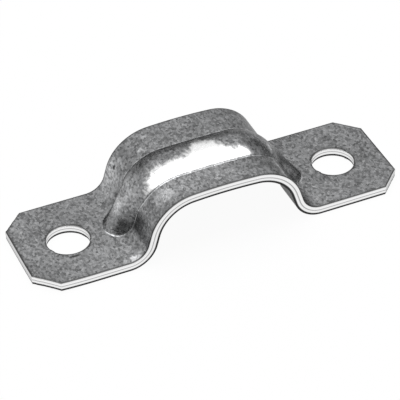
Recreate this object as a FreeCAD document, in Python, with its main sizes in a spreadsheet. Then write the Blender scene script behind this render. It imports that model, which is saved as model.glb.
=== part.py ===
import FreeCAD, Part
import math
import os
import re
import Sketcher
from FreeCAD import Vector

# Two-hole strap pressed from one strip of steel sheet.
# X runs along the strip, Y across it and Z up from the surface it is screwed to.
# The origin is the middle of the strap, on the plane its two feet stand on.

SIZES = [
    # alias, value in mm (in degrees where the name says slope), what it is
    ("sheet_thickness", 1.5, "sheet the strap is pressed from"),
    ("band_width", 19.0, "width of the strip"),
    ("overall_length", 62.0, "end to end over both feet"),
    ("corner_clip", 3.5, "leg of the 45 degree cut at each corner"),
    ("screw_hole_diameter", 6.8, "clearance hole in each foot"),
    ("screw_hole_spacing", 45.6, "between the two hole centres"),
    ("saddle_height", 9.9, "clear height under the middle of the flange"),
    ("crown_radius", 83.5, "inside radius of the slightly domed crown"),
    ("shoulder_radius", 6.5, "inside radius of each shoulder bend"),
    ("shoulder_spacing", 9.8, "between the axes of the two shoulder bends"),
    ("flank_slope", 73.4, "of each flank above the horizontal"),
    ("foot_bend_radius", 3.3, "inside radius between flank and foot"),
    ("rib_width", 7.4, "across the stiffening rib where it meets the flange"),
    ("rib_height", 0.75, "of the rib's crest above the flange"),
    ("rib_end_slope", 54.7, "of the rib where it runs straight down to a foot"),
    ("rib_nose_width", 7.6, "across the rounder section that the rib ends in"),
    ("rib_nose_rise", 3.0, "of that section's crest above its sides"),
    ("rib_margin", 0.4, "by which the swept section is wider each side, inside the sheet"),
    ("rib_offset", -0.35, "shift of the rib's centre line across the strip"),
]

SIZE = {alias: value for alias, value, note in SIZES}
TOUCH = 0.001  # mm, how near two places have to be to count as one

START, END, CENTRE = 1, 2, 3  # points of a sketched line or arc
X_AXIS, Z_AXIS = -1, -2  # the sketch's own level and upright axes
ORIGIN = (X_AXIS, START)
ALONG_Z = Vector(0, 0, 1)

# Outside radii of the rib's section, from its width and rise, over the saddle and at its ends.
RIB_RADIUS = "(rib_width ^ 2 / 4 + rib_height ^ 2) / (2 * rib_height)"
NOSE_RADIUS = "(rib_nose_width ^ 2 / 4 + rib_nose_rise ^ 2) / (2 * rib_nose_rise)"

# The rib's crest: its height above the underside of the flange, and where its straight end starts.
CREST_RISE = "sheet_thickness + rib_height"
SHOULDER_AXIS_Z = ("saddle_height - crown_radius"
                   " + sqrt((crown_radius - shoulder_radius) ^ 2 - shoulder_spacing ^ 2 / 4)")
END_START_X = f"shoulder_spacing / 2 + (shoulder_radius + {CREST_RISE}) * sin(rib_end_slope * 1 deg)"
END_START_Z = f"{SHOULDER_AXIS_Z} + (shoulder_radius + {CREST_RISE}) * cos(rib_end_slope * 1 deg)"

# Half width and depth of the section that is swept, which reaches a little way into the flange.
RIB_HALF_FORM = "rib_width / 2 + rib_margin"
RIB_DEPTH = "sheet_thickness + rib_nose_rise"


def make_sheet(doc):
    sheet = doc.addObject("Spreadsheet::Sheet", "sizes")
    for row, (alias, value, note) in enumerate(SIZES, start=1):
        sheet.set(f"A{row}", alias)
        sheet.set(f"B{row}", str(value))
        sheet.set(f"C{row}", note)
        sheet.setAlias(f"B{row}", alias)
    doc.recompute()


def on_sheet(text):
    """The formula with each size name pointing at its cell."""
    def cell(word):
        return f"sizes.{word.group()}" if word.group() in SIZE else word.group()
    return re.sub(r"[a-z_]+", cell, text)


def bind(item, target, text):
    item.setExpression(target, on_sheet(text))


# Sketching

def add_sketch(body, name, role):
    plane = next(part for part in body.Origin.OriginFeatures if part.Role == role)
    sketch = body.newObject("Sketcher::SketchObject", name)
    sketch.AttachmentSupport = [(plane, "")]
    sketch.MapMode = "FlatFace"
    return sketch


def add_line(sketch, start, end):
    return sketch.addGeometry(Part.LineSegment(start, end), False)


def add_arc(sketch, centre, radius, first, last):
    """Arc drawn anticlockwise between two directions, in radians."""
    circle = Part.Circle(centre, ALONG_Z, radius)
    return sketch.addGeometry(Part.ArcOfCircle(circle, first, last), False)


def constrain(sketch, kind, *where):
    return sketch.addConstraint(Sketcher.Constraint(kind, *where))


def dimension(sketch, name, text, kind, *where):
    """A driving dimension, tied to the sheet."""
    value = sketch.evalExpression(on_sheet(text))
    index = constrain(sketch, kind, *where, float(value))
    sketch.renameConstraint(index, name)
    bind(sketch, f"Constraints.{name}", text)


def slope(sketch, name, text, line):
    """The angle of a line drawn downwards to the right, as a slope above the horizontal."""
    value = sketch.evalExpression(on_sheet(text))
    index = constrain(sketch, "Angle", line, -math.radians(value))
    sketch.renameConstraint(index, name)
    bind(sketch, f"Constraints.{name}", f"-({text}) * 1 deg")


def point_at(centre, radius, angle):
    return centre + Vector(math.cos(angle), math.sin(angle), 0) * radius


def top_axes():
    """Axes of the crown and of the shoulder bend on the +X side, in the XZ plane."""
    crown = Vector(0, SIZE["saddle_height"] - SIZE["crown_radius"], 0)
    reach = SIZE["crown_radius"] - SIZE["shoulder_radius"]
    across = SIZE["shoulder_spacing"] / 2
    return crown, crown + Vector(across, math.sqrt(reach ** 2 - across ** 2), 0)


def foot_bend_axis(shoulder_axis):
    """Axis of the bend between the flank and the foot on the +X side, in the XZ plane."""
    height = SIZE["sheet_thickness"] + SIZE["foot_bend_radius"]
    apart = SIZE["shoulder_radius"] + height
    tilt = math.radians(SIZE["flank_slope"])
    across = (apart + math.cos(tilt) * (shoulder_axis.y - height)) / math.sin(tilt)
    return Vector(shoulder_axis.x + across, height, 0)


def sketch_top(sketch, rise):
    """Crown and shoulder arcs of the +X half, `rise` outside the underside of the flange."""
    crown_axis, shoulder_axis = top_axes()
    out = float(sketch.evalExpression(on_sheet(rise)))
    to_shoulder = math.atan2(shoulder_axis.y - crown_axis.y, shoulder_axis.x)
    crown = add_arc(sketch, crown_axis, SIZE["crown_radius"] + out, to_shoulder, math.pi / 2)
    shoulder = add_arc(sketch, shoulder_axis, SIZE["shoulder_radius"] + out,
                       math.radians(90 - SIZE["flank_slope"]), to_shoulder)
    constrain(sketch, "Tangent", crown, START, shoulder, END)
    constrain(sketch, "PointOnObject", crown, CENTRE, Z_AXIS)
    constrain(sketch, "PointOnObject", crown, END, Z_AXIS)
    tag = sketch.GeometryCount
    dimension(sketch, f"crown_radius_{tag}", f"crown_radius + {rise}", "Radius", crown)
    dimension(sketch, f"crown_top_{tag}", f"saddle_height + {rise}", "DistanceY", *ORIGIN, crown, END)
    dimension(sketch, f"shoulder_radius_{tag}", f"shoulder_radius + {rise}", "Radius", shoulder)
    dimension(sketch, f"shoulder_axis_{tag}", "shoulder_spacing / 2", "DistanceX",
              *ORIGIN, shoulder, CENTRE)
    return crown, shoulder


def sketch_arch(sketch, rise):
    """The whole +X half of the arch down to its foot, `rise` outside the underside of the sheet."""
    crown, shoulder = sketch_top(sketch, rise)
    shoulder_axis = top_axes()[1]
    foot_axis = foot_bend_axis(shoulder_axis)
    out = float(sketch.evalExpression(on_sheet(rise)))
    square = math.radians(90 - SIZE["flank_slope"])  # direction square to the flank
    bend_radius = foot_axis.y - out
    flank = add_line(sketch, point_at(shoulder_axis, SIZE["shoulder_radius"] + out, square),
                     point_at(foot_axis, -bend_radius, square))
    bend = add_arc(sketch, foot_axis, bend_radius, square + math.pi, math.pi * 3 / 2)
    constrain(sketch, "Tangent", shoulder, START, flank, START)
    constrain(sketch, "Tangent", flank, END, bend, START)
    constrain(sketch, "Vertical", bend, CENTRE, bend, END)
    tag = sketch.GeometryCount
    slope(sketch, f"flank_slope_{tag}", "flank_slope", flank)
    dimension(sketch, f"bend_radius_{tag}", f"foot_bend_radius + sheet_thickness - ({rise})",
              "Radius", bend)
    dimension(sketch, f"bend_axis_{tag}", "foot_bend_radius + sheet_thickness", "DistanceY",
              *ORIGIN, bend, CENTRE)
    return crown, bend


def close_loop(sketch, first, points, last, directions):
    """Straight lines from one end of a chain round to the other, level or plumb as told."""
    before = first
    for start, end, direction in zip(points, points[1:], directions):
        line = add_line(sketch, start, end)
        constrain(sketch, "Coincident", *before, line, START)
        if direction:
            constrain(sketch, direction, line)
        before = (line, END)
    constrain(sketch, "Coincident", *before, *last)
    return line


# Features of the body, each on top of the last

def add_pad(body, sketch, length):
    pad = body.newObject("PartDesign::Pad", f"{sketch.Name}_pad")
    pad.Profile = sketch
    pad.SideType = "Symmetric"
    bind(pad, "Length", length)
    finish(body, pad)


def add_cut(body, sketch):
    before = body.Shape.Volume
    cut = body.newObject("PartDesign::Pocket", f"{sketch.Name}_cut")
    cut.Profile = sketch
    cut.Type = "ThroughAll"
    cut.SideType = "Symmetric"
    finish(body, cut)
    if body.Shape.Volume >= before:
        raise ValueError(f"{cut.Name} removes nothing")


def add_pipe(body, kind, name, section, path):
    pipe = body.newObject(f"PartDesign::{kind}", name)
    pipe.Profile = section
    pipe.Spine = path
    finish(body, pipe)


def finish(body, feature):
    body.Tip = feature
    body.Document.recompute()


def is_upright(edge):
    return edge.Curve.TypeId == "Part::GeomLine" and abs(edge.Curve.Direction.z) > 1 - TOUCH


# Steps of the strap

def add_block(body):
    """The outside of the bent strip, still solid underneath."""
    sketch = add_sketch(body, "outside", "XZ_Plane")
    thickness, end = SIZE["sheet_thickness"], SIZE["overall_length"] / 2
    crown, bend = sketch_arch(sketch, "sheet_thickness")
    foot = sketch.getPoint(bend, END)
    around = [foot, Vector(end, thickness, 0), Vector(end, -thickness, 0),
              Vector(0, -thickness, 0), sketch.getPoint(crown, END)]
    axis = close_loop(sketch, (bend, END), around, (crown, END),
                      ["Horizontal", "Vertical", "Horizontal", "Vertical"])
    dimension(sketch, "half_length", "overall_length / 2", "DistanceX", *ORIGIN, axis - 1, START)
    dimension(sketch, "spare_below", "sheet_thickness", "DistanceY", axis, START, *ORIGIN)
    add_pad(body, sketch, "band_width")


def add_saddle(body):
    """Cuts the inside of the bent strip: the saddle and the plane under the feet."""
    sketch = add_sketch(body, "inside", "XZ_Plane")
    crown, bend = sketch_arch(sketch, "0")
    foot = sketch.getPoint(bend, END)
    reach, depth = SIZE["overall_length"], -SIZE["saddle_height"]
    around = [foot, Vector(reach, 0, 0), Vector(reach, depth, 0), Vector(0, depth, 0),
              sketch.getPoint(crown, END)]
    axis = close_loop(sketch, (bend, END), around, (crown, END),
                      ["Horizontal", "Vertical", "Horizontal", "Vertical"])
    dimension(sketch, "reach", "overall_length", "DistanceX", *ORIGIN, axis - 1, START)
    dimension(sketch, "depth", "saddle_height", "DistanceY", axis, START, *ORIGIN)
    add_cut(body, sketch)


def sketch_rib_path(body):
    """The rib's crest over the crown and the shoulder."""
    sketch = add_sketch(body, "rib_path", "XZ_Plane")
    shoulder = sketch_top(sketch, CREST_RISE)[1]
    axis = (shoulder, CENTRE)
    spoke = add_line(sketch, sketch.getPoint(*axis), sketch.getPoint(shoulder, START))
    sketch.setConstruction(spoke, True)
    constrain(sketch, "Coincident", *axis, spoke, START)
    constrain(sketch, "Coincident", shoulder, START, spoke, END)
    index = constrain(sketch, "Angle", spoke, math.radians(90 - SIZE["rib_end_slope"]))
    sketch.renameConstraint(index, "end_slope")
    bind(sketch, "Constraints.end_slope", "(90 - rib_end_slope) * 1 deg")
    return sketch


def sketch_rib_section(body, name, radius, half_width, inset):
    """Arched section of the rib, or of its hollow when inset, with its crest at the sketch's origin."""
    sketch = add_sketch(body, name, "YZ_Plane")
    outer, half, inner = (float(sketch.evalExpression(on_sheet(text)))
                          for text in (radius, half_width, inset))
    spread = math.asin(half / outer)
    centre = Vector(0, -outer, 0)
    arc = add_arc(sketch, centre, outer - inner, math.pi / 2 - spread, math.pi / 2 + spread)
    right, left = sketch.getPoint(arc, START), sketch.getPoint(arc, END)
    base = float(sketch.evalExpression(on_sheet(RIB_DEPTH)))
    around = [left, Vector(left.x, -base, 0), Vector(right.x, -base, 0), right]
    last = close_loop(sketch, (arc, END), around, (arc, START), ["Vertical", "Horizontal", "Vertical"])
    constrain(sketch, "PointOnObject", arc, CENTRE, Z_AXIS)
    constrain(sketch, "Symmetric", arc, START, arc, END, Z_AXIS)
    dimension(sketch, "radius", f"{radius} - {inset}", "Radius", arc)
    dimension(sketch, "axis_depth", radius, "DistanceY", arc, CENTRE, *ORIGIN)
    dimension(sketch, "half_width", f"({half_width}) * (1 - {inset} / ({radius}))", "DistanceX",
              *ORIGIN, arc, START)
    dimension(sketch, "depth", RIB_DEPTH, "DistanceY", last, START, *ORIGIN)
    return sketch


def place_section(sketch, across_z, along_x, slope_text):
    """Stands the section at a point of the crest, square to it."""
    tilt = float(sketch.evalExpression(on_sheet(slope_text)))
    turned = FreeCAD.Rotation(Vector(1, 0, 0), tilt)
    sketch.AttachmentOffset = FreeCAD.Placement(Vector(), turned)
    bind(sketch, "AttachmentOffset.Base.x", "rib_offset")
    bind(sketch, "AttachmentOffset.Base.y", across_z)
    bind(sketch, "AttachmentOffset.Base.z", along_x)
    bind(sketch, "AttachmentOffset.Rotation.Angle", f"({slope_text}) * 1 deg")


def add_rib(body, path, name, kind, inset):
    """The rib's form, or its hollow: swept over the saddle, then run out straight into the foot."""
    crest_z = f"saddle_height + {CREST_RISE}"
    start = sketch_rib_section(body, f"{name}_over_saddle", RIB_RADIUS, RIB_HALF_FORM, inset)
    place_section(start, crest_z, "0", "0")
    add_pipe(body, f"{kind}Pipe", f"{name}_swept", start, path)
    bent = sketch_rib_section(body, f"{name}_past_shoulder", RIB_RADIUS, RIB_HALF_FORM, inset)
    place_section(bent, END_START_Z, END_START_X, "rib_end_slope")
    nose = sketch_rib_section(body, f"{name}_nose", NOSE_RADIUS, "rib_nose_width / 2", inset)
    place_section(nose, "0", f"{END_START_X} + ({END_START_Z}) / tan(rib_end_slope * 1 deg)",
                  "rib_end_slope")
    loft = body.newObject(f"PartDesign::{kind}Loft", f"{name}_run_out")
    loft.Profile = bent
    loft.Sections = [nose]
    loft.Ruled = True
    finish(body, loft)


def add_screw_hole(body):
    sketch = add_sketch(body, "screw_hole", "XY_Plane")
    centre = Vector(SIZE["screw_hole_spacing"] / 2, 0, 0)
    circle = sketch.addGeometry(Part.Circle(centre, ALONG_Z, SIZE["screw_hole_diameter"] / 2), False)
    constrain(sketch, "PointOnObject", circle, CENTRE, X_AXIS)
    dimension(sketch, "diameter", "screw_hole_diameter", "Diameter", circle)
    dimension(sketch, "from_middle", "screw_hole_spacing / 2", "DistanceX", *ORIGIN, circle, CENTRE)
    add_cut(body, sketch)


def clip_corners(body):
    end = SIZE["overall_length"] / 2
    corners = [f"Edge{place}" for place, edge in enumerate(body.Shape.Edges, start=1)
               if is_upright(edge) and abs(edge.Vertexes[0].X - end) < TOUCH]
    base = body.Tip
    clips = body.newObject("PartDesign::Chamfer", "corner_clips")
    clips.Base = (base, corners)
    bind(clips, "Size", "corner_clip")
    finish(body, clips)


def mirror_half(body):
    mirror = body.newObject("PartDesign::Mirrored", "both_halves")
    mirror.TransformMode = "Whole shape"
    plane = next(part for part in body.Origin.OriginFeatures if part.Role == "YZ_Plane")
    mirror.MirrorPlane = (plane, [""])
    finish(body, mirror)


def build_strap(doc):
    """The +X half, worked from a solid block to a pressed sheet, then both halves."""
    body = doc.addObject("PartDesign::Body", "strap")
    body.Label = "strap"
    add_block(body)
    path = sketch_rib_path(body)
    add_rib(body, path, "rib", "Additive", "0")
    add_saddle(body)
    add_rib(body, path, "hollow", "Subtractive", "sheet_thickness")
    add_screw_hole(body)
    clip_corners(body)
    mirror_half(body)
    return body


def check(doc, body):
    for item in doc.Objects:
        if "Invalid" in item.State or "Error" in item.State:
            raise ValueError(f"{item.Name}: {item.getStatusString()}")
    shape = body.Shape
    if shape.isNull() or not shape.isValid() or len(shape.Solids) != 1:
        raise ValueError(f"{body.Label} is not one sound solid")


def main():
    doc = FreeCAD.newDocument("conduit_strap")
    make_sheet(doc)
    strap = build_strap(doc)
    doc.recompute()
    check(doc, strap)
    os.makedirs("parts", exist_ok=True)
    strap.Shape.exportStep(f"parts/{strap.Label}.step")
    box = strap.Shape.optimalBoundingBox(True, False)
    print(f"{strap.Label}: {strap.Shape.Volume:.1f} mm3, "
          f"{box.XLength:.2f} x {box.YLength:.2f} x {box.ZLength:.2f} mm")


main()
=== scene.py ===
import math
import bmesh
import bpy
from mathutils import Matrix, Vector, noise


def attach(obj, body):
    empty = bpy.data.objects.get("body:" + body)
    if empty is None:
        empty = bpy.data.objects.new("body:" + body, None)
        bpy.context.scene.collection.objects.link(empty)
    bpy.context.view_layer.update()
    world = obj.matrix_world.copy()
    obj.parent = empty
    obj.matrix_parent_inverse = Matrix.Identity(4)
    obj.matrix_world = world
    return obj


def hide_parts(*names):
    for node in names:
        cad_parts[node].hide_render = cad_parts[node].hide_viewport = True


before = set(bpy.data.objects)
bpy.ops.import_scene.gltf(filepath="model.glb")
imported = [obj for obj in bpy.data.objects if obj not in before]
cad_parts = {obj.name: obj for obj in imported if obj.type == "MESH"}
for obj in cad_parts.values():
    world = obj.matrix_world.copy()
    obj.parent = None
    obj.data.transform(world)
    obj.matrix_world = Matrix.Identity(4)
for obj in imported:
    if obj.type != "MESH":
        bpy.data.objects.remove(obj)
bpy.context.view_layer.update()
mm = 0.001


def grey(level):
    return (level, level, level, 1)


def smoothStep(low, high, value):
    share = min(max((value - low) / (high - low), 0.0), 1.0)
    return share * share * (3 - 2 * share)


def makePiece(name, bm, material):
    mesh = bpy.data.meshes.new(name)
    bm.to_mesh(mesh)
    bm.free()
    mesh.materials.append(material)
    piece = bpy.data.objects.new(name, mesh)
    bpy.context.collection.objects.link(piece)
    return piece


# shader nodes, each joined to the sockets it is given

def addNode(tree, kind, inputs=None, **settings):
    node = tree.nodes.new("ShaderNode" + kind)
    for name, value in settings.items():
        setattr(node, name, value)
    for name, value in (inputs or {}).items():
        if isinstance(value, bpy.types.NodeSocket):
            tree.links.new(value, node.inputs[name])
        else:
            node.inputs[name].default_value = value
    return node


def attribute(tree, name):
    return addNode(tree, "Attribute", attribute_name=name).outputs["Fac"]


def mathNode(tree, operation, first, second, clamp=False):
    node = addNode(tree, "Math", {0: first, 1: second}, operation=operation, use_clamp=clamp)
    return node.outputs["Value"]


def vectorMath(tree, operation, first, second):
    return addNode(tree, "VectorMath", {0: first, 1: second}, operation=operation).outputs["Vector"]


def mapRange(tree, value, fromRange, toRange, steps="LINEAR"):
    inputs = {"Value": value, "From Min": fromRange[0], "From Max": fromRange[1],
              "To Min": toRange[0], "To Max": toRange[1]}
    return addNode(tree, "MapRange", inputs, interpolation_type=steps).outputs["Result"]


def mixColour(tree, share, first, second, way="MIX"):
    inputs = {"Factor": share, "A": first, "B": second}
    return addNode(tree, "Mix", inputs, data_type="RGBA", blend_type=way).outputs["Result"]


def seenDirectly(tree):
    # 1 for what the camera sees straight, in a mirror or through glass
    rays = addNode(tree, "LightPath").outputs
    mirrored = mathNode(tree, "ADD", rays["Is Camera Ray"], rays["Is Glossy Ray"])
    return mathNode(tree, "ADD", mirrored, rays["Is Transmission Ray"], clamp=True)


# the strap is made as a flat blank, x along the strip and y across it, then pressed

strap = {
    "thickness": 1.5 * mm,
    "width": 19.0 * mm,
    "length": 62.0 * mm,
    "cornerClip": 3.5 * mm,
    "holeDiameter": 6.8 * mm,
    "holeSpacing": 45.6 * mm,
    "saddleHeight": 9.9 * mm,
    "crownRadius": 83.5 * mm,         # inside radii, as they are under the sheet
    "shoulderRadius": 6.5 * mm,
    "shoulderSpacing": 9.8 * mm,
    "flankSlope": math.radians(73.4),
    "footBendRadius": 3.3 * mm,
    "cellsAcross": 96,                # squares of the blank
    "cellsToHole": 148,               # from the middle to a hole
    "cellsPastHole": 42,              # from the hole to the end of the foot
    "holeWindow": 5.2 * mm,           # squares this near a hole bend round to follow it
    "holeRing": 1.02,                 # squares up to this times the hole's radius lie on its edge
    "cutTolerance": 1e-7,             # in metres, for the corner cuts
    "mergeWithin": 0.06 * mm,         # clears the slivers that they leave
    "unevenness": 0.012 * mm,
    "unevenScale": 4.0 * mm,
    "unevenSink": 0.6,                # most of the unevenness lies below the plain face
    "liftedCorner": (-30.5 * mm, -9.5 * mm),
    "cornerLift": 0.45 * mm,
    "cornerReach": 9.0 * mm,
    "rimShadeShare": 0.85,              # share of the rolled corner's painted shade line that the top face's outermost line of squares takes
    "sharpFrom": math.radians(48),    # bends steeper than this stay crisp
}

rib = {
    "height": 0.75 * mm,
    "halfWidth": 3.7 * mm,
    "flatness": 2.5,                  # 2 is a plain arch, more has a flatter top and steeper sides
    "lean": 0.12,                     # how far the crest stands back over the crown, of the half width
    "leanReach": 8.0 * mm,
    "offsetOnCrown": -0.55 * mm,
    "offsetOnFeet": 0.0 * mm,
    "endSlope": math.radians(54.7),
    "noseRadius": 3.75 * mm,
    "noseLength": 6.5 * mm,
    "noseUsed": 0.985,                # share of the nose's radius that its round section uses
    "rootBlend": 0.11 * mm,
    "paintedHighlightFrom": -13.4 * mm,      # stretch of the crest that gets a painted highlight, a brighter colour that the lamp's reflection tops up
    "paintedHighlightTo": 8.0 * mm,
    "paintedHighlightFade": 4.2 * mm,
    "paintedHighlightRise": (0.02, 0.2),       # the painted highlight sets in over these shares of the rib's height
    "paintedHighlightSlope": 0.36,             # per mm, more gives the painted highlight a harder back edge
    # how far back the painted highlight reaches, as places along the strip and across it in mm
    "paintedHighlightBack": [(-12.0, -3.2), (-9.8, -1.9), (-7.9, -1.1), (-6.0, -1.4), (-3.4, -1.3), (-1.9, 0.0),
                      (-0.9, 1.7), (1.8, 0.9), (3.1, -0.8), (4.5, -2.2), (6.6, -3.3), (8.0, -4.4)],
}

# depth below the top face, inset and brightness of each line of the sheared edge:
# rolled corner, smooth cut, a small step, torn half and burr, where the near-black rolled corner and burr
# are painted shade
shearedEdge = [
    (0.0, 0.15 * mm, 0.02),
    (0.04 * mm, 0.06 * mm, 0.08),
    (0.11 * mm, 0.02 * mm, 0.95),
    (0.50 * mm, 0.0, 1.0),
    (0.59 * mm, 0.01 * mm, 0.4),
    (0.68 * mm, 0.045 * mm, 0.4),
    (0.78 * mm, 0.05 * mm, 0.95),
    (1.06 * mm, 0.045 * mm, 1.0),
    (1.17 * mm, 0.04 * mm, 0.0),
    (1.5 * mm, 0.08 * mm, 0.0),
]


def squareTo(slope):
    # outward direction, in the XZ plane, of a face that falls away at this slope
    return Vector((math.sin(slope), math.cos(slope)))


def downAlong(slope):
    return Vector((math.cos(slope), -math.sin(slope)))


def bendProfile():
    # side view of the top face: the arcs' axes and radii, and how far along the strip each part ends
    outRadius = strap["shoulderRadius"] + strap["thickness"]
    crownRadius = strap["crownRadius"] + strap["thickness"]
    crownAxis = Vector((0, strap["saddleHeight"] - strap["crownRadius"]))
    reach = crownRadius - outRadius
    half = strap["shoulderSpacing"] / 2
    shoulderAxis = crownAxis + Vector((half, math.sqrt(reach ** 2 - half ** 2)))
    crownTurn = math.asin(half / reach)
    slope = strap["flankSlope"]
    footAxisZ = strap["thickness"] + strap["footBendRadius"]
    apart = outRadius + strap["footBendRadius"]
    footAxisX = shoulderAxis.x + (apart + math.cos(slope) * (shoulderAxis.y - footAxisZ)) / math.sin(slope)
    footAxis = Vector((footAxisX, footAxisZ))
    flankTop = shoulderAxis + squareTo(slope) * outRadius
    flankFoot = footAxis - squareTo(slope) * strap["footBendRadius"]
    crownEnd = crownRadius * crownTurn
    shoulderEnd = crownEnd + outRadius * (slope - crownTurn)
    flankEnd = shoulderEnd + (flankFoot - flankTop).length
    bendEnd = flankEnd + strap["footBendRadius"] * slope
    return {"crownAxis": crownAxis, "crownRadius": crownRadius, "shoulderAxis": shoulderAxis,
            "outRadius": outRadius, "crownTurn": crownTurn, "footAxis": footAxis,
            "flankTop": flankTop, "crownEnd": crownEnd, "shoulderEnd": shoulderEnd,
            "flankEnd": flankEnd, "bendEnd": bendEnd}


bend = bendProfile()


def flangeAt(along):
    # place and outward direction on the top face, in the XZ plane, a given way along the strip
    s = abs(along)
    slope = strap["flankSlope"]
    if s < bend["crownEnd"]:
        normal = squareTo(s / bend["crownRadius"])
        place = bend["crownAxis"] + normal * bend["crownRadius"]
    elif s < bend["shoulderEnd"]:
        normal = squareTo(bend["crownTurn"] + (s - bend["crownEnd"]) / bend["outRadius"])
        place = bend["shoulderAxis"] + normal * bend["outRadius"]
    elif s < bend["flankEnd"]:
        normal = squareTo(slope)
        place = bend["flankTop"] + downAlong(slope) * (s - bend["shoulderEnd"])
    elif s < bend["bendEnd"]:
        normal = squareTo(slope - (s - bend["flankEnd"]) / strap["footBendRadius"])
        place = bend["footAxis"] - normal * strap["footBendRadius"]
    else:
        normal = Vector((0, 1))
        place = Vector((bend["footAxis"].x + s - bend["bendEnd"], strap["thickness"]))
    if along < 0:
        return Vector((-place.x, place.y)), Vector((-normal.x, normal.y))
    return place, normal


def softMax(value, blend):
    # the larger of value and 0, rounded where they meet
    if value <= -blend:
        return 0.0
    if value >= blend:
        return value
    return (value + blend) ** 2 / (4 * blend)


def ribDepth(across, run, lean):
    # how far the rib's section lies below its crest; run goes from 0 over the saddle to 1 at the nose
    crestAt = lean * rib["halfWidth"]
    side = rib["halfWidth"] + math.copysign(crestAt, crestAt - across)
    arch = rib["height"] * (abs(across - crestAt) / side) ** rib["flatness"]
    reach = min(abs(across), rib["noseRadius"] * rib["noseUsed"])
    nose = rib["noseRadius"] - math.sqrt(rib["noseRadius"] ** 2 - reach ** 2)
    return arch * (1 - run) + nose * run


def ribGap(along, y):
    # height of the rib's form above the flange's own face, negative outside the rib
    s = abs(along)
    toFeet = smoothStep(0, bend["bendEnd"], s)
    across = y - rib["offsetOnCrown"] - (rib["offsetOnFeet"] - rib["offsetOnCrown"]) * toFeet
    if abs(across) > 2 * rib["halfWidth"]:
        return -rib["height"]
    lean = rib["lean"] * (1 - smoothStep(0, rib["leanReach"], s))
    endStart = bend["crownEnd"] + bend["outRadius"] * (rib["endSlope"] - bend["crownTurn"])
    if s <= endStart:
        return rib["height"] - ribDepth(across, 0, lean)
    # past here the crest runs straight down to the nose
    place, normal = flangeAt(s)
    square = squareTo(rib["endSlope"])
    crest = bend["outRadius"] + rib["height"]
    offset = place - bend["shoulderAxis"]
    run = smoothStep(0, rib["noseLength"], offset.dot(downAlong(rib["endSlope"])))
    return (crest - ribDepth(across, run, lean) - offset.dot(square)) / normal.dot(square)


def ribRise(along, y):
    return softMax(ribGap(along, y), rib["rootBlend"])


def paintedHighlightAt(along, y):
    # painted highlight: half at its edge, more inside it
    low, high = rib["paintedHighlightRise"]
    rise = smoothStep(low, high, ribRise(along, y) / rib["height"])
    start = smoothStep(rib["paintedHighlightFrom"], rib["paintedHighlightFrom"] + rib["paintedHighlightFade"], along)
    end = 1 - smoothStep(rib["paintedHighlightTo"] - rib["paintedHighlightFade"] / 2, rib["paintedHighlightTo"], along)
    line = rib["paintedHighlightBack"]
    back = line[-1][1]
    for (fromAlong, fromY), (toAlong, toY) in zip(line, line[1:]):
        if fromAlong <= along / mm < toAlong:
            back = fromY + (toY - fromY) * (along / mm - fromAlong) / (toAlong - fromAlong)
    inside = min(max(0.5 + rib["paintedHighlightSlope"] * (back - y / mm), 0.0), 1.0)
    return inside * rise * start * end


def topPoint(along, y):
    place, normal = flangeAt(along)
    place = place + normal * ribRise(along, y)
    return Vector((place.x, y, place.y))


def pressed(along, y, depth):
    # where a point of the blank goes: depth is measured down from the top face, square to it
    step = 0.02 * mm
    top = topPoint(along, y)
    alongWay = topPoint(along + step, y) - topPoint(along - step, y)
    acrossWay = topPoint(along, y + step) - topPoint(along, y - step)
    normal = alongWay.cross(acrossWay).normalized()
    wobble = strap["unevenness"] * (noise.noise(top / strap["unevenScale"]) - strap["unevenSink"])
    point = top + normal * (wobble * (1 - depth / strap["thickness"]) - depth)
    corner = Vector((point.x - strap["liftedCorner"][0], point.y - strap["liftedCorner"][1]))
    nearness = max(0.0, 1 - corner.length / strap["cornerReach"])
    point.z += strap["cornerLift"] * nearness ** 2
    return point


def cutHoles(bm, holeAlong, cellWidth):
    radius = strap["holeDiameter"] / 2
    rings = round(radius / cellWidth)
    cell = holeAlong / strap["cellsToHole"]
    gone = []
    for side in (-1, 1):
        centre = Vector((side * holeAlong, 0, 0))
        for face in bm.faces:
            away = face.calc_center_median() - centre
            if max(abs(away.x) / cell, abs(away.y) / cellWidth) < rings:
                gone.append(face)
    bmesh.ops.delete(bm, geom=gone, context="FACES")
    # the square rings of vertices round each hole are drawn into circles
    for vertex in bm.verts:
        centre = Vector((math.copysign(1, vertex.co.x) * holeAlong, 0, 0))
        away = vertex.co - centre
        square = max(abs(away.x), abs(away.y))
        if square > strap["holeWindow"] or away.length == 0:
            continue
        spread = (strap["holeWindow"] - square) / (strap["holeWindow"] - radius)
        spread = min(max(spread, 0.0), 1.0)
        ringSize = radius if square < radius * strap["holeRing"] else square
        onRing = away.normalized() * ringSize
        vertex.co = centre + away.lerp(onRing, spread)


def clipCorners(bm, endAlong):
    for sideX in (-1, 1):
        for sideY in (-1, 1):
            through = Vector((sideX * (endAlong - strap["cornerClip"]), sideY * strap["width"] / 2, 0))
            bmesh.ops.bisect_plane(bm, geom=bm.verts[:] + bm.edges[:] + bm.faces[:],
                                   dist=strap["cutTolerance"], plane_co=through,
                                   plane_no=(sideX, sideY, 0), clear_outer=True)
    bmesh.ops.remove_doubles(bm, verts=bm.verts, dist=strap["mergeWithin"])


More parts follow.
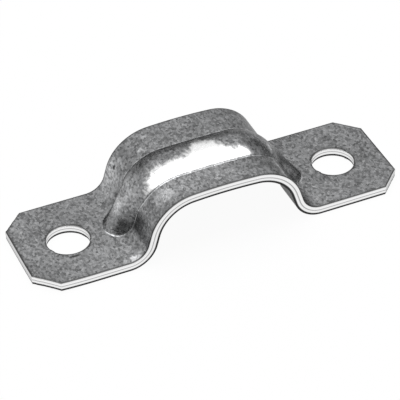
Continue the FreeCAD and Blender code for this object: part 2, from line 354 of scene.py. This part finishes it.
def flatBlank():
    cells = 2 * (strap["cellsToHole"] + strap["cellsPastHole"])
    cellWidth = strap["width"] / strap["cellsAcross"]
    bm = bmesh.new()
    bmesh.ops.create_grid(bm, x_segments=cells, y_segments=strap["cellsAcross"], size=1.0)
    endAlong = bend["bendEnd"] + (strap["length"] / 2 - bend["footAxis"].x)
    holeAlong = bend["bendEnd"] + strap["holeSpacing"] / 2 - bend["footAxis"].x
    for vertex in bm.verts:
        place = abs(vertex.co.x) * cells / 2
        if place <= strap["cellsToHole"]:
            s = holeAlong * place / strap["cellsToHole"]
        else:
            s = holeAlong + (endAlong - holeAlong) * (place - strap["cellsToHole"]) / strap["cellsPastHole"]
        vertex.co.x = math.copysign(s, vertex.co.x)
        vertex.co.y *= strap["width"] / 2
    cutHoles(bm, holeAlong, cellWidth)
    clipCorners(bm, endAlong)
    print("blank cut:", len(bm.faces), "squares")
    return bm


def thicken(bm):
    sheet = bmesh.ops.extrude_face_region(bm, geom=bm.faces[:])
    below = [item for item in sheet["geom"] if isinstance(item, bmesh.types.BMVert)]
    bmesh.ops.translate(bm, verts=below, vec=(0, 0, -strap["thickness"]))
    bmesh.ops.recalc_face_normals(bm, faces=bm.faces)
    walls = []
    for edge in bm.edges:
        first, second = edge.verts
        if abs(first.co.z - second.co.z) > 0.5 * strap["thickness"]:
            walls.append(edge)
    bmesh.ops.subdivide_edges(bm, edges=walls, cuts=len(shearedEdge) - 2, use_grid_fill=True)


def shearEdges(bm, layers):
    # each line of the cut edge gets its depth, inset and brightness
    bm.normal_update()
    outward = {}
    for face in bm.faces:
        if abs(face.normal.z) < 0.5:
            for vertex in face.verts:
                outward[vertex] = outward.get(vertex, Vector()) + face.normal
    # the top face's outermost line of squares gets the rolled corner's painted shade line
    rim = set()
    for vertex in outward:
        if vertex.co.z > -0.01 * mm:
            rim.update(edge.other_vert(vertex) for edge in vertex.link_edges)
    lines = len(shearedEdge) - 1
    for vertex in bm.verts:
        if vertex in outward:
            line = round(-vertex.co.z / strap["thickness"] * lines)
            depth, inset, tone = shearedEdge[line]
            vertex.co -= outward[vertex].normalized() * inset
            vertex.co.z = -depth
            vertex[layers["cutEdgeAndShadedRim"]] = 1.0
            vertex[layers["shearedTone"]] = tone
        elif vertex in rim:
            vertex[layers["cutEdgeAndShadedRim"]] = strap["rimShadeShare"]


def pressSheet(bm, layers):
    topSide = -shearedEdge[1][0]
    underSide = -0.99 * strap["thickness"]
    for vertex in bm.verts:
        along, y, z = vertex.co
        gap = -1.0
        if z > topSide:
            # where the crest gets its painted highlight
            vertex[layers["paintedHighlight"]] = paintedHighlightAt(along, y)
            gap = ribGap(along, y) / mm
        vertex[layers["ribGap"]] = min(max(gap, -1.0), 1.0)
        if z < underSide:
            # inner face of the saddle, which gets painted shade
            vertex[layers["innerFace"]] = 1 - smoothStep(bend["flankEnd"], bend["bendEnd"], abs(along))
        vertex.co = pressed(along, y, -z)
    bmesh.ops.recalc_face_normals(bm, faces=bm.faces)


def makeStrap():
    bm = flatBlank()
    thicken(bm)
    layers = {}
    for name in ("cutEdgeAndShadedRim", "shearedTone", "paintedHighlight", "ribGap", "innerFace"):   # read by the steel
        layers[name] = bm.verts.layers.float.new(name)
    shearEdges(bm, layers)
    pressSheet(bm, layers)
    return bm


# galvanised steel

steel = {
    "colour": (0.201, 0.203, 0.206, 1),
    # painted highlight colour for the crest
    "paintedHighlightColour": grey(0.80),
    "bareColour": grey(0.93),         # of the cut edge
    "burrAndShadeColour": grey(0.035),        # of its burr and rolled corner, painted near black as shade
    "grazingTint": grey(0.6),         # keeps the metal dull at a flat angle
    "roughness": (0.21, 0.37),        # follows the grain
    "spangleSize": 0.32 * mm,
    "spangleSpread": (0.4, 1.6),      # darkest and lightest crystals
    "acrossStretch": 0.7,             # the crystals are longer across the strip
    "grainFineness": 1.3,             # against the spangle
    "grainRoughness": 0.65,
    "grainShare": 0.55,               # of the tone, the rest comes from whole crystals
    "patchSize": 4.0 * mm,
    "patchSpread": (0.82, 1.18),
    "raggedSize": 0.55 * mm,          # breaks up the edge of the painted highlight
    "raggedSpread": (-0.3, 0.3),
    "paintedHighlightSpan": (0.05, 0.95),       # painted highlight share over which the metal goes from its plain colour to the highlight colour
    # height against the root in mm, and the painted shade (below 1) and painted highlight (above 1) that it
    # puts into the colour
    "rootShadeAndHighlight": [(-0.5, 1.0), (-0.16, 1.0), (-0.10, 1.8), (-0.03, 1.8), (0.015, 0.6), (0.05, 0.65),
               (0.09, 1.0)],
    "innerShade": 0.1,                # painted shade inside the saddle
    "bumpStrength": 0.35,
    "bumpHeight": 0.01 * mm,
    "fineDetail": 4,
    "coarseDetail": 3,
    "crystalSpan": (0.2, 0.8),        # what the textures reach in practice
    "noiseSpan": (0.3, 0.7),
    "markFade": (0.2, 1.1),           # of a mark's reach
}

# stains and pits, and painted shade and painted highlights where light falls: centre and reach in mm, and
# how dark or light, where 1 is neither
stainsAndPaintedLight = [
    ((-11.95, 7.21, 7.0), (0.5, 0.5, 0.5), 0.12),
    ((-23.2, -4.15, 1.5), (1.2, 0.35, 0.5), 0.2),
    ((24.4, 6.1, 1.5), (1.6, 0.9, 0.6), 0.62),
    # painted shade on the rib's right shoulder
    ((8.2, -1.8, 11.2), (2.7, 2.3, 1.8), 0.45),
    # painted shade on the rib's nose
    ((-14.4, -2.6, 2.9), (1.8, 2.0, 2.0), 0.42),
    ((-9.6, 1.9, 10.6), (0.6, 0.4, 0.7), 0.6),
    # painted highlight on the front edge by the left foot bend
    ((-15.1, -8.7, 1.8), (2.5, 1.1, 1.4), 2.1),
    # painted highlights on the front flange at the left shoulder and on the back of the left flank
    ((-9.2, -6.2, 10.0), (2.2, 2.2, 2.4), 1.85),
    ((-12.6, 7.4, 5.6), (2.8, 4.4, 5.8), 1.75),
    ((-7.0, 7.6, 11.0), (1.2, 0.5, 0.7), 1.5),
    ((13.3, -1.2, 5.2), (2.2, 2.6, 3.2), 1.45),
    # painted highlights on the front flange's left foot bend and on the rib's nose
    ((-12.8, -8.0, 4.6), (1.8, 2.6, 3.0), 2.1),
    ((-14.6, 0.9, 4.4), (1.9, 2.6, 3.4), 1.55),
    # painted shade over the right foot
    ((24.0, -2.0, 1.5), (9.5, 9.0, 1.0), 0.88),
    ((-8.3, 5.2, 10.5), (0.8, 0.8, 0.7), 1.6),
    ((-8.9, 3.9, 10.3), (0.6, 0.5, 0.7), 1.7),
    # painted highlights along the right shoulder where it turns away, on the flange and on the rib
    ((10.25, -6.8, 9.15), (0.45, 3.1, 0.5), 2.4),
    ((10.8, -1.7, 9.5), (0.55, 2.2, 0.9), 2.1),
    # painted highlights on the rib's left side and on the front flange
    ((-12.6, 0.6, 6.6), (3.2, 3.8, 5.0), 1.75),
    ((-2.0, -6.5, 11.3), (8.0, 2.8, 1.5), 1.25),
]


def addStainsAndPaintedLight(tree, position, colour):
    for place, reach, shade in stainsAndPaintedLight:
        away = vectorMath(tree, "SUBTRACT", position, Vector(place) * mm)
        scaled = vectorMath(tree, "DIVIDE", away, Vector(reach) * mm)
        length = addNode(tree, "VectorMath", {0: scaled}, operation="LENGTH").outputs["Value"]
        fade = mapRange(tree, length, steel["markFade"], (shade, 1.0), "SMOOTHSTEP")
        colour = mixColour(tree, 1.0, colour, fade, "MULTIPLY")
    return colour


def noiseTexture(tree, vector, size, detail, roughness=0.5):
    inputs = {"Vector": vector, "Scale": 1 / size, "Detail": detail, "Roughness": roughness}
    return addNode(tree, "TexNoise", inputs).outputs["Fac"]


def paintedRootLines(tree):
    # along the rib's root: a painted shade line inside, a painted highlight line outside
    gapShare = mapRange(tree, attribute(tree, "ribGap"), (-1, 1), (0, 1))
    ramp = addNode(tree, "ValToRGB", {"Fac": gapShare})
    stops = ramp.color_ramp.elements
    for height, shade in steel["rootShadeAndHighlight"]:
        stops.new(0.5 + height / 2).color = grey(shade)
    stops.remove(stops[-1])
    stops.remove(stops[0])
    return ramp.outputs["Color"]


def paintedHighlightShare(tree, vector):
    # painted highlight on the crest: a brighter colour, unevenly
    ragged = noiseTexture(tree, vector, steel["raggedSize"], steel["fineDetail"])
    ragged = mapRange(tree, ragged, steel["noiseSpan"], steel["raggedSpread"])
    highlightReach = mathNode(tree, "ADD", attribute(tree, "paintedHighlight"), ragged)
    return mapRange(tree, highlightReach, steel["paintedHighlightSpan"], (0, 1), "SMOOTHSTEP")


def galvanisedSteel():
    material = bpy.data.materials.new("galvanised steel")
    material.use_nodes = True
    tree = material.node_tree
    tree.nodes.clear()
    position = addNode(tree, "TexCoord").outputs["Object"]
    stretch = (1, steel["acrossStretch"], 1)
    stretched = addNode(tree, "Mapping", {"Vector": position, "Scale": stretch}).outputs["Vector"]

    # spangle: small crystals, each a little lighter or darker
    cells = {"Vector": stretched, "Scale": 1 / steel["spangleSize"]}
    spangle = addNode(tree, "TexVoronoi", cells).outputs["Color"]
    crystal = addNode(tree, "SeparateColor", {"Color": spangle}).outputs["Red"]
    grain = noiseTexture(tree, stretched, steel["spangleSize"] / steel["grainFineness"],
                         steel["fineDetail"], steel["grainRoughness"])
    shares = {"Factor": steel["grainShare"], "A": crystal, "B": grain}
    surface = addNode(tree, "Mix", shares, data_type="FLOAT").outputs["Result"]
    tone = mapRange(tree, surface, steel["crystalSpan"], steel["spangleSpread"])
    patches = noiseTexture(tree, stretched, steel["patchSize"], steel["coarseDetail"])
    patchTone = mapRange(tree, patches, steel["noiseSpan"], steel["patchSpread"])
    tone = mathNode(tree, "MULTIPLY", tone, patchTone)

    colour = mixColour(tree, 1.0, steel["colour"], tone, "MULTIPLY")
    # painted highlight on the crest
    colour = mixColour(tree, paintedHighlightShare(tree, stretched), colour, steel["paintedHighlightColour"])
    # painted shade and highlight lines along the rib's root
    colour = mixColour(tree, 1.0, colour, paintedRootLines(tree), "MULTIPLY")
    # stains and pits, with painted shade and painted highlights
    colour = addStainsAndPaintedLight(tree, position, colour)
    # painted shade on the inner face of the saddle
    inner = mapRange(tree, attribute(tree, "innerFace"), (0, 1), (1, steel["innerShade"]))
    colour = mixColour(tree, 1.0, colour, inner, "MULTIPLY")

    # bare bright metal where the sheet was cut, with painted shade lines at its rolled corner and burr and
    # along the top face's rim
    edgeColourAndShade = mixColour(tree, attribute(tree, "shearedTone"), steel["burrAndShadeColour"], steel["bareColour"])
    colour = mixColour(tree, attribute(tree, "cutEdgeAndShadedRim"), colour, edgeColourAndShade)

    bump = addNode(tree, "Bump", {"Height": surface, "Strength": steel["bumpStrength"],
                                  "Distance": steel["bumpHeight"]})
    shader = addNode(tree, "BsdfPrincipled", {
        "Base Color": colour,
        "Metallic": 1.0,
        "Specular Tint": steel["grazingTint"],
        "Roughness": mapRange(tree, grain, (0, 1), steel["roughness"]),
        "Normal": bump.outputs["Normal"],
    })
    addNode(tree, "OutputMaterial", {"Surface": shader.outputs["BSDF"]})
    print("steel mixed:", len(tree.nodes), "nodes")
    return material


strapPiece = makePiece("pressed_strap", makeStrap(), galvanisedSteel())
strapPiece.data.shade_smooth()
strapPiece.data.set_sharp_from_angle(angle=strap["sharpFrom"])
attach(strapPiece, "root")
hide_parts("strap")
print("strap pressed:", len(strapPiece.data.polygons), "faces")


# floor, light and camera

studio = {
    "floorHalf": 3.0,
    "floorLevel": 0.92,
    "floorWhiteness": 0.95,           # the rest shows the shadow
    "mattRoughness": 0.9,
    "worldLevel": 0.45,
    "lampPower": 9.0,
    "lampSize": (1.6, 0.95),
    "lampPlace": (-0.05, 0.17, 0.9),
    # dark cards for the metal to mirror: name, place, size and shade
    "flags": [
        ("flag_front", (-0.70, -0.50, 0.22), (1.2, 0.46), 0.45),
        ("flag_back", (0.05, 1.10, 0.22), (1.5, 0.40), 0.42),
        ("flag_right", (1.05, 0.45, 0.20), (0.9, 0.38), 0.4),
    ],
    "viewAzimuth": math.radians(-22.456),
    "viewElevation": math.radians(39.169),
    "viewRoll": math.radians(-1.880),
    "viewDistance": 335.63 * mm,
    "viewEnd": 10.0,                  # nothing past this is drawn
    "lens": 190.82,
    "sensorWidth": 36.0,
    "shift": (-0.008185, 0.017685),
}


def mattMaterial(name, level):
    material = bpy.data.materials.new(name)
    material.use_nodes = True
    shader = material.node_tree.nodes["Principled BSDF"]
    shader.inputs["Base Color"].default_value = grey(level)
    shader.inputs["Roughness"].default_value = studio["mattRoughness"]
    return material


def addFloor():
    bm = bmesh.new()
    bmesh.ops.create_grid(bm, x_segments=1, y_segments=1, size=studio["floorHalf"])
    material = mattMaterial("white floor", studio["floorLevel"])
    tree = material.node_tree
    white = addNode(tree, "Emission", {"Strength": 1.0})
    share = mathNode(tree, "MULTIPLY", seenDirectly(tree), studio["floorWhiteness"])
    mix = addNode(tree, "MixShader", {"Fac": share, 1: tree.nodes["Principled BSDF"].outputs["BSDF"],
                                      2: white.outputs["Emission"]})
    tree.links.new(mix.outputs["Shader"], tree.nodes["Material Output"].inputs["Surface"])
    floor = makePiece("floor", bm, material)


def addFlag(name, place, size, shade):
    # stands facing the strap, hidden from the camera
    bm = bmesh.new()
    bmesh.ops.create_grid(bm, x_segments=1, y_segments=1, size=0.5)
    bmesh.ops.scale(bm, verts=bm.verts, vec=(size[0], size[1], 1))
    facing = (-Vector(place)).to_track_quat("Z", "Y").to_matrix()
    bmesh.ops.rotate(bm, verts=bm.verts, cent=(0, 0, 0), matrix=facing)
    bmesh.ops.translate(bm, verts=bm.verts, vec=place)
    flag = makePiece(name, bm, mattMaterial(name, shade))
    flag.visible_camera = False
    flag.visible_shadow = False


def addLight():
    world = bpy.data.worlds.new("studio")
    world.use_nodes = True
    bpy.context.scene.world = world
    tree = world.node_tree
    background = tree.nodes["Background"]
    background.inputs["Color"].default_value = grey(1)
    level = mapRange(tree, seenDirectly(tree), (0, 1), (studio["worldLevel"], 1))
    tree.links.new(level, background.inputs["Strength"])
    lamp = bpy.data.lights.new("softbox", "AREA")
    lamp.shape = "RECTANGLE"
    lamp.size, lamp.size_y = studio["lampSize"]
    lamp.energy = studio["lampPower"]
    softbox = bpy.data.objects.new("softbox", lamp)
    softbox.location = studio["lampPlace"]
    bpy.context.collection.objects.link(softbox)


def addCamera():
    azimuth, elevation = studio["viewAzimuth"], studio["viewElevation"]
    back = Vector((math.sin(azimuth) * math.cos(elevation), -math.cos(azimuth) * math.cos(elevation),
                   math.sin(elevation)))
    camera = bpy.data.cameras.new("camera")
    camera.sensor_width = studio["sensorWidth"]
    camera.lens = studio["lens"]
    camera.shift_x, camera.shift_y = studio["shift"]
    camera.clip_end = studio["viewEnd"]
    eye = bpy.data.objects.new("camera", camera)
    turn = back.to_track_quat("Z", "Y").to_matrix()
    eye.rotation_euler = (turn @ Matrix.Rotation(studio["viewRoll"], 3, "Z")).to_euler()
    eye.location = back * studio["viewDistance"]
    bpy.context.collection.objects.link(eye)
    bpy.context.scene.camera = eye


addFloor()
for name, place, size, shade in studio["flags"]:
    addFlag(name, place, size, shade)
addLight()
addCamera()
bpy.context.scene.view_settings.view_transform = "Standard"
print("studio set up")
